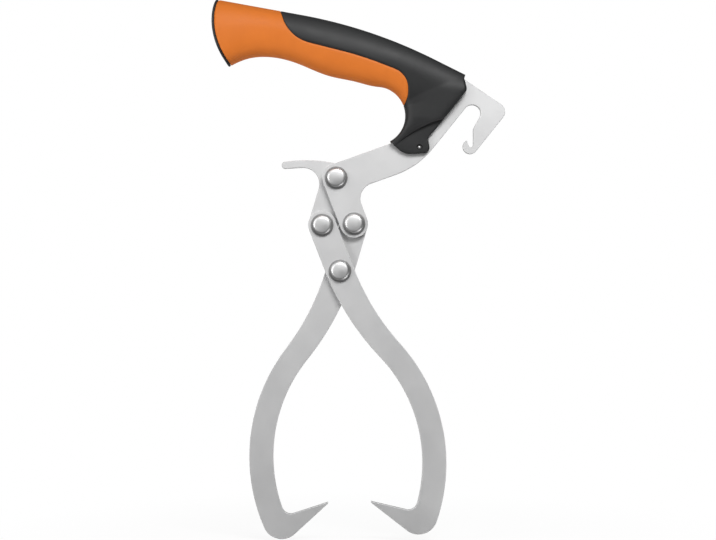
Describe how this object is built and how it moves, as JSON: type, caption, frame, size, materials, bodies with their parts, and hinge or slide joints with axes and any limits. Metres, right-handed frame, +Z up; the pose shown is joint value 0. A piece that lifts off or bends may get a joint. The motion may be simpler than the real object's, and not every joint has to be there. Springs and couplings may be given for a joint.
{
  "type": "log tongs",
  "caption": "Hand-held log tongs: saw-type handle with a hanging hook, a finger trigger and a riveted scissor link that opens and closes two hooked steel jaws.",
  "frame": {"origin": "middle of the hand on the grip, in the mid-plane of the handle plate", "axes": "+X along the handle towards its hook, +Y away from the front, +Z up with the jaws hanging below"},
  "size_m": [0.1896, 0.0332, 0.351],
  "materials": {
    "plate_steel": "satin blasted plate",
    "rivet_steel": "bright",
    "black_plastic": "fine moulded grain",
    "orange_grip": "soft touch"
  },
  "bodies": {
    "handle": {"handle_plate": "plate_steel", "handle_core": "black_plastic", "grip_sleeve": "orange_grip", "pommel_cap": "black_plastic", "collar_pin": "rivet_steel", "top_rivet": "rivet_steel", "top_washer": "rivet_steel", "right_rivet": "rivet_steel", "right_washer": "rivet_steel"},
    "trigger": {"trigger_link": "plate_steel"},
    "right_jaw": {"right_jaw": "plate_steel", "left_rivet": "rivet_steel", "left_washer": "rivet_steel", "bottom_rivet": "rivet_steel", "bottom_washer": "rivet_steel"},
    "left_jaw": {"left_jaw": "plate_steel"}
  },
  "joints": [
    {"name": "trigger_pull", "type": "hinge", "parent": "handle", "child": "trigger", "pos_m": [0.01183, 0, -0.08574], "axis": [0, 1, 0], "range_deg": [0, 70]},
    {"name": "left_jaw_swing", "type": "hinge", "parent": "handle", "child": "left_jaw", "pos_m": [0.02341, 0, -0.11557], "axis": [0, 1, 0], "range_deg": [0, 70]},
    {"name": "right_jaw_swing", "type": "hinge", "parent": "trigger", "child": "right_jaw", "pos_m": [0.00271, 0, -0.11641], "axis": [0, 1, 0], "range_deg": [-70, 0]}
  ],
  "couplings": [
    {"joint": "left_jaw_swing", "follows": "trigger_pull", "ratio": 1},
    {"joint": "right_jaw_swing", "follows": "trigger_pull", "ratio": -1}
  ]
}
